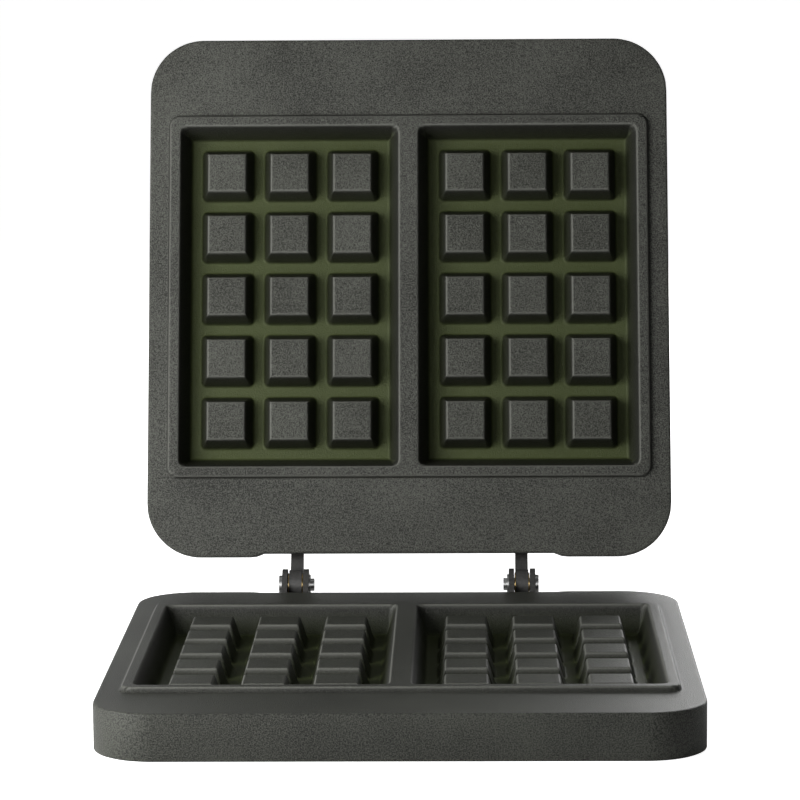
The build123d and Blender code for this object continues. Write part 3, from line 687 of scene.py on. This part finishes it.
    def lines(self, features: list[float], half: float) -> np.ndarray:
        """Grid lines that crowd round the features and stay sparse between them.

        Args:
            features: places where the surface bends.
            half: half the grid's size.

        Returns:
            The sorted places of the lines.
        """
        crowded = (np.array(features)[:, None] + np.array(self.crowd)[None, :]).ravel()
        both = np.concatenate([crowded, -crowded, np.linspace(-half, half, self.plain_lines)])
        kept = np.unique(np.round(both[np.abs(both) <= half], 3))
        kept = kept[np.concatenate([[True], np.diff(kept) > self.least_gap])]
        kept[0], kept[-1] = -half, half
        return kept

    def grid_lines(self) -> tuple[np.ndarray, np.ndarray]:
        """The grid's lines across and along, from the places of rims, walls and posts.

        Returns:
            The lines across and the lines along.
        """
        across = [self.rim_half_x, self.rim_half_x + self.rim_flare]
        along = [self.rim_half_y, self.rim_half_y + self.rim_flare]
        for edge in (self.floor_half_x, self.mouth_half_x):
            across += [self.cavity_x + edge, self.cavity_x - edge]
        along += [self.floor_half_y, self.mouth_half_y]
        for half in (self.post_base / 2, self.post_top / 2):
            for column in range(-self.outer_column, self.outer_column + 1):
                middle = self.cavity_x + column * self.pitch
                across += [middle + half, middle - half]
            for row in range(self.outer_row + 1):
                along += [row * self.pitch + half, row * self.pitch - half]
        xs = self.lines(across, self.rim_half_x + self.patch_margin)
        ys = self.lines(along, self.rim_half_y + self.patch_margin)
        return xs, ys

    def outline(
        self, side_share: np.ndarray, half_a: float, half_b: float, radius: float
    ) -> np.ndarray:
        """Points on one side of a rounded rectangle, from one corner's middle to the next one's.

        Formula: the share times half the side's run; a straight part first and then the corner's
        arc.

        Args:
            side_share: shares from -1 to 1 along the side.
            half_a: half size along the side.
            half_b: distance of the side from the centre.
            radius: corner radius.

        Returns:
            N x 2 points, along the side and away from the centre.
        """
        straight = half_a - radius
        run = np.abs(side_share) * (straight + radius * pi / 4)
        angle = np.clip((run - straight) / radius, 0.0, None)
        place = np.where(run < straight, run, straight + radius * np.sin(angle))
        away = half_b - radius + radius * np.cos(angle)
        return np.stack([np.sign(side_share) * place, away], axis=-1)

    def perimeter(
        self, xs: np.ndarray, ys: np.ndarray, inset: float, corner: float
    ) -> np.ndarray:
        """A ring round the casting with one point for each border point of the grid.

        Formula: four sides of a rounded rectangle, with the hinge side pushed in by the notch's
        depth times a ramp that is cut to 0 and 1.

        Args:
            xs: the grid's lines across.
            ys: the grid's lines along.
            inset: distance inside the casting's outline.
            corner: corner radius of this ring.

        Returns:
            N x 2 points, counter-clockwise from the corner at low x and low y.
        """
        half_x, half_y = self.half_x - inset, self.half_y - inset
        wide = self.outline(xs / xs[-1], half_x, half_y, corner)
        tall = self.outline(ys / ys[-1], half_y, half_x, corner)
        south = np.stack([wide[:, 0], -wide[:, 1]], axis=-1)
        east = np.stack([tall[:, 1], tall[:, 0]], axis=-1)
        north = wide[::-1]
        west = np.stack([-tall[::-1, 1], tall[::-1, 0]], axis=-1)
        ring = np.concatenate([south[:-1], east[:-1], north[:-1], west[:-1]])
        ramp = (self.notch_width / 2 - np.abs(ring[:, 0])) / self.notch_slope
        cut = -self.half_y + inset + self.notch_depth * np.clip(ramp, 0.0, 1.0)
        ring[:, 1] = np.maximum(ring[:, 1], np.where(ring[:, 1] < 0, cut, -np.inf))
        return ring

    def sections(self) -> list[tuple[float, float, float]]:
        """The wall's profile, from the flange face round to the back.

        Formula: a quarter circle at the face, a straight wall with an eased foot, then steps in to
        the block behind the cavities.

        Returns:
            Inset, height and corner radius of each ring.
        """
        bend = np.radians([0, 18, 36, 54, 72, 90])
        turn = self.edge_round
        profile = [(turn - turn * sin(angle), -turn + turn * cos(angle)) for angle in bend]
        low, foot = -self.thickness, self.foot_chamfer
        ease = foot * self.foot_ease
        profile += [(0.0, low + foot), (ease, low + ease), (foot, low)]
        flange_back = low
        if self.side is Side.LOWER:
            flange_back = -self.lower_web
            seat = low + self.cover_recess
            profile += [(self.lip_width, low), (self.lip_width, seat)]
            profile += [(self.skirt_width, seat), (self.skirt_width, flange_back)]
        body_inset = self.side_margin + self.rim_side - self.body_overlap
        profile += [(body_inset, flange_back), (body_inset, -self.body_drop + self.body_chamfer)]
        profile += [(body_inset + self.body_chamfer, -self.body_drop)]
        return [(a, b, max(self.plate_corner - a, self.least_corner)) for a, b in profile]

    def skirt(self, xs: np.ndarray, ys: np.ndarray, inner: np.ndarray) -> list[np.ndarray]:
        """Rings from the grid's border over the flange, down the wall and in over the back.

        Formula: over the flange, a share of the way from the border to the first ring of the wall.

        Args:
            xs: the grid's lines across.
            ys: the grid's lines along.
            inner: the border's points.

        Returns:
            The rings, each of N x 3 points.
        """
        sections = self.sections()
        first = self.perimeter(xs, ys, sections[0][0], sections[0][2])
        rings = []
        for share in self.flange_shares:
            flat = inner * (1 - share) + first * share
            rings.append(np.column_stack([flat, np.zeros(len(flat))]))
        for inset, drop, corner in sections:
            ring = self.perimeter(xs, ys, inset, corner)
            rings.append(np.column_stack([ring, np.full(len(ring), drop)]))
        return rings

    def mask(self, piece: bpy.types.Object, grid_masks: dict[str, np.ndarray]) -> None:
        """Writes masks as attributes: their values on the grid, and 0 on the points after it.

        Args:
            piece: the casting.
            grid_masks: the grid's values of each mask, by name.
        """
        for name, grid in grid_masks.items():
            values = np.zeros(len(piece.data.vertices), dtype=np.float32)
            values[: grid.size] = grid.ravel()
            attribute = piece.data.attributes.new(name, "FLOAT", "POINT")
            attribute.data.foreach_set("value", values)

    def build(self) -> bpy.types.Object:
        """Builds the casting as one closed mesh with its masks as attributes.

        Returns:
            The casting.
        """
        xs, ys = self.grid_lines()
        grid_x, grid_y = np.meshgrid(xs, ys)
        level, edge = self.height(grid_x, grid_y)
        level[[0, -1], :] = 0.0
        level[:, [0, -1]] = 0.0
        number = np.arange(level.size).reshape(level.shape)
        corners = [number[:-1, :-1], number[:-1, 1:], number[1:, 1:], number[1:, :-1]]
        quads = np.stack(corners, axis=-1).reshape(-1, 4)
        sides = [number[0, :-1], number[:-1, -1], number[-1, :0:-1], number[:0:-1, 0]]
        border = np.concatenate(sides)
        inner = np.stack([grid_x.ravel()[border], grid_y.ravel()[border]], axis=-1)
        rings = self.skirt(xs, ys, inner)
        start, count = level.size, len(border)
        here = start + np.arange(count)
        join = np.stack([border, here, np.roll(here, -1), np.roll(border, -1)], axis=-1)
        faces = np.concatenate([quads, join, loop_faces(start, len(rings), count)])
        last = start + (len(rings) - 1) * count
        back = tuple(range(last, last + count))[::-1]
        face_points = np.column_stack([grid_x.ravel(), grid_y.ravel(), level.ravel()])
        local = np.concatenate([face_points, *rings])
        piece = make_mesh(
            f"{self.side.value}_plate_casting",
            frame_of(self.side).place(local),
            [tuple(quad) for quad in faces.tolist()] + [back],
        )
        rise_y, rise_x = np.gradient(level, ys, xs)
        # Steep-flank mask: where the painted shade is laid.
        steep = (np.hypot(rise_x, rise_y) - self.gentle_slope) / self.slope_span
        recess = np.clip(-level / self.floor_drop, 0.0, 1.0)
        self.mask(piece, {"recess": recess, "flank": np.clip(steep, 0.0, 1.0), "wear_and_highlight": edge})
        return piece

    def add(self, dressing: Dressing, body: str, finish: str) -> None:
        """Builds and dresses the casting, in its CAD node's place and on its body.

        Args:
            dressing: what holds the finishes.
            body: the body it rides on.
            finish: the name of its finish.
        """
        side, casting = self.side, self.build()
        dressing.dress_piece(casting, finish)
        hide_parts(f"{side.value}_plate")
        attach(casting, body)


@dataclass
class BossSet:
    """Tapped bosses under the lower casting, as turned tubes, in millimetres."""

    spread_x: float = 104.0
    spread_y: float = 105.0
    outer: float = 7.0
    hole: float = 3.0
    depth: float = 10.0
    top: float = 14.2
    chamfer: float = 0.5
    thread_pitch: float = 1.0
    thread_start: float = 0.6
    thread_height: float = 0.35
    thread_turns: int = 9
    drill_gap: float = 0.3
    pole: float = 0.02
    segments: int = 32

    def profile(self) -> np.ndarray:
        """The boss's section: over its top, down outside, up the threaded hole to its end.

        Returns:
            An N x 2 array of radius and height.
        """
        half_pitch = self.thread_pitch / 2
        ridges = [
            (self.hole - self.thread_height * (i % 2), self.thread_start + i * half_pitch)
            for i in range(2 * self.thread_turns)
        ]
        outside = [(self.pole, self.top), (self.outer, self.top), (self.outer, self.chamfer)]
        foot = [(self.outer - self.chamfer, 0.0), (self.hole + self.chamfer, 0.0)]
        end = [(self.hole - self.drill_gap, self.depth), (self.pole, self.depth)]
        return np.array(outside + foot + ridges + end)

    def build(self) -> bpy.types.Object:
        """Turns each boss: the section's radius and height, carried round a circle.

        Returns:
            The bosses as one piece.
        """
        radius, rise = self.profile().T
        turn = np.linspace(0, 2 * pi, self.segments + 1)[:-1]
        height = np.repeat(rise[:, None], self.segments, axis=1)
        stacks = []
        for x in (-self.spread_x, self.spread_x):
            for y in (-self.spread_y, self.spread_y):
                across = x + radius[:, None] * np.cos(turn)
                along = y + radius[:, None] * np.sin(turn)
                stacks.append(np.stack([across, along, height], axis=-1))
        return make_mesh("lower_plate_bosses", *capped_stacks(stacks))

    def add(self, dressing: Dressing) -> None:
        """Builds and dresses the bosses, on the base.

        Args:
            dressing: what holds the finishes.
        """
        bosses = self.build()
        dressing.dress_piece(bosses, "cast_below")
        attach(bosses, "base")


@dataclass
class PadSet:
    """Cast pads under the hinge arms on the back of the lid's casting, in millimetres."""

    hinge_x: float = 54.0
    along: float = -113.0
    half_x: float = 8.0
    half_y: float = 11.0
    root: float = -4.6
    face: float = -9.0
    chamfer: float = 0.5
    chamfer_step: float = 0.15
    squareness: float = 0.12
    segments: int = 40

    def build(self) -> bpy.types.Object:
        """Stacks rounded rectangles, narrowed at the outer edge.

        Formula: a circle's sine and cosine, each raised to a small power with its sign kept, times
        the pad's half sizes less the inset of the level.

        Returns:
            The pads as one piece.
        """
        turn = np.linspace(0, 2 * pi, self.segments + 1)[:-1] + pi / self.segments
        reach = np.stack([np.cos(turn), np.sin(turn)], axis=-1)
        square = np.sign(reach) * np.abs(reach) ** self.squareness
        levels = np.array(
            [
                [self.root, 0.0],
                [self.face + self.chamfer, 0.0],
                [self.face + self.chamfer_step, self.chamfer_step],
                [self.face, self.chamfer],
            ]
        )
        rise, inset = levels[:, :1], levels[:, 1:]
        height = np.repeat(rise, self.segments, axis=1)
        frame, stacks = frame_of(Side.UPPER), []
        for x in (-self.hinge_x, self.hinge_x):
            across = x + square[None, :, 0] * (self.half_x - inset)
            along = self.along + square[None, :, 1] * (self.half_y - inset)
            stacks.append(frame.place(np.stack([across, along, height], axis=-1)))
        return make_mesh("upper_plate_pads", *capped_stacks(stacks))

    def add(self, dressing: Dressing) -> None:
        """Builds and dresses the pads, on the lid.

        Args:
            dressing: what holds the finishes.
        """
        pads = self.build()
        dressing.dress_piece(pads, "cast")
        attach(pads, "lid")


@dataclass(frozen=True)
class Lamp:
    """A square soft lamp: its place and size in metres and its power in watts."""

    name: str
    place: Place
    size: float
    power: float

    def hang(self, aim: Vector) -> None:
        """Adds the lamp to the scene, turned towards a place.

        Args:
            aim: the place it faces.
        """
        data = bpy.data.lights.new(self.name, "AREA")
        data.size = self.size
        data.energy = self.power
        lamp = bpy.data.objects.new(self.name, data)
        lamp.location = self.place
        lamp.rotation_euler = (aim - Vector(self.place)).to_track_quat("-Z", "Y").to_euler()
        bpy.context.scene.collection.objects.link(lamp)


@dataclass
class Studio:
    """Floor, soft lamps and the camera that was fitted to the photograph, in metres."""

    focal: float = 159.2
    sensor: float = 36.0
    camera_place: Place = (0.02807, -1.51969, 0.34516)
    pitch: float = radians(8.076)
    yaw: float = radians(1.095)
    roll: float = radians(-0.375)
    aim: Place = (0.0, 0.05, 0.12)
    lamps: tuple[Lamp, ...] = (
        Lamp("key", (-0.52, -0.36, 0.27), 0.5, 10.5),
        Lamp("fill", (0.0, -1.8, 0.45), 0.8, 4.0),
        Lamp("back", (0.5, 1.5, 0.7), 0.8, 16.0),
    )
    dim_sky: float = 0.04
    front_gloss: float = 0.05
    front_y: float = -0.1
    behind_y: float = 0.5
    floor_reach: float = 30.0
    floor_gap: float = 0.0002
    floor_shade: Colour = (0.9, 0.9, 0.9)
    floor_rough: float = 0.9
    floor_specular: float = 0.1
    floor_glow: float = 0.95

    def camera(self) -> None:
        """Sets the camera: turned left by the yaw, down by the pitch, then rolled on its axis."""
        right = Vector((cos(self.yaw), sin(self.yaw), 0.0))
        level = Vector((-sin(self.yaw), cos(self.yaw), 0.0))
        ahead = level * cos(self.pitch) - Vector((0, 0, 1)) * sin(self.pitch)
        above = right.cross(ahead)
        side = right * cos(self.roll) + above * sin(self.roll)
        top = above * cos(self.roll) - right * sin(self.roll)
        turn = Matrix((side, top, -ahead)).transposed()
        data = bpy.data.cameras.new("camera")
        data.lens = self.focal
        data.sensor_width = self.sensor
        eye = bpy.data.objects.new("camera", data)
        eye.matrix_world = Matrix.Translation(self.camera_place) @ turn.to_4x4()
        bpy.context.scene.collection.objects.link(eye)
        bpy.context.scene.camera = eye

    def world(self) -> None:
        """A dim sky that the camera sees as white, and gloss too where it looks behind the part."""
        world = bpy.data.worlds.new("studio")
        world.use_nodes = True
        bpy.context.scene.world = world
        nodes, links = world.node_tree.nodes, world.node_tree.links
        sky = nodes["Background"]
        sky.inputs["Color"].default_value = (1.0, 1.0, 1.0, 1.0)
        path = nodes.new("ShaderNodeLightPath")
        strength = nodes.new("ShaderNodeMapRange")
        strength.inputs["To Min"].default_value = self.dim_sky
        strength.inputs["To Max"].default_value = 1.0
        place = nodes.new("ShaderNodeTexCoord")
        split = nodes.new("ShaderNodeSeparateXYZ")
        behind = nodes.new("ShaderNodeMapRange")
        behind.inputs["From Min"].default_value = self.front_y
        behind.inputs["From Max"].default_value = self.behind_y
        behind.inputs["To Min"].default_value = self.front_gloss
        gloss = nodes.new("ShaderNodeMath")
        gloss.operation = "MULTIPLY"
        either = nodes.new("ShaderNodeMath")
        either.operation = "MAXIMUM"
        links.new(place.outputs["Generated"], split.inputs[0])
        links.new(split.outputs["Y"], behind.inputs["Value"])
        links.new(behind.outputs["Result"], gloss.inputs[0])
        links.new(path.outputs["Is Glossy Ray"], gloss.inputs[1])
        links.new(path.outputs["Is Camera Ray"], either.inputs[0])
        links.new(gloss.outputs[0], either.inputs[1])
        links.new(either.outputs[0], strength.inputs["Value"])
        links.new(strength.outputs["Result"], sky.inputs["Strength"])

    def floor(self) -> None:
        """A wide pale floor that keeps the part's shadow and looks white to the camera."""
        reach, level = self.floor_reach, -self.floor_gap
        mesh = bpy.data.meshes.new("floor")
        corners = [(-reach, -reach), (reach, -reach), (reach, reach), (-reach, reach)]
        mesh.from_pydata([(x, y, level) for x, y in corners], [], [(0, 1, 2, 3)])
        floor = bpy.data.objects.new("floor", mesh)
        bpy.context.scene.collection.objects.link(floor)
        material = bpy.data.materials.new("pale_floor")
        material.use_nodes = True
        nodes, links = material.node_tree.nodes, material.node_tree.links
        shader = nodes["Principled BSDF"]
        shader.inputs["Roughness"].default_value = self.floor_rough
        shader.inputs["Specular IOR Level"].default_value = self.floor_specular
        shader.inputs["Base Color"].default_value = (*self.floor_shade, 1.0)
        shader.inputs["Emission Color"].default_value = (1.0, 1.0, 1.0, 1.0)
        path = nodes.new("ShaderNodeLightPath")
        glow = nodes.new("ShaderNodeMapRange")
        glow.inputs["To Max"].default_value = self.floor_glow
        links.new(path.outputs["Is Camera Ray"], glow.inputs["Value"])
        links.new(glow.outputs["Result"], shader.inputs["Emission Strength"])
        mesh.materials.append(material)

    def build(self) -> None:
        """Sets up the whole studio."""
        bpy.context.scene.view_settings.view_transform = "Standard"
        self.world()
        self.floor()
        for lamp in self.lamps:
            lamp.hang(Vector(self.aim))
        self.camera()


def main() -> None:
    """Loads the frame, builds and dresses every piece, and sets the studio."""
    logging.basicConfig(level=logging.INFO, format="%(name)s: %(message)s")
    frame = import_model()
    group = grain_group()
    materials = {name: finish.make(group) for name, finish in FINISHES.items()}
    dressing = Dressing(frame["nodes"], frame["record"], materials)
    dressing.dress()
    # The lower casting takes the darker copy of the finish, which is painted shade.
    for side, body, finish in ((Side.LOWER, "base", "cast_below"), (Side.UPPER, "lid", "cast")):
        WafflePlate(side).add(dressing, body, finish)
    BossSet().add(dressing)
    PadSet().add(dressing)
    Studio().build()


if __name__ == "__main__":
    main()
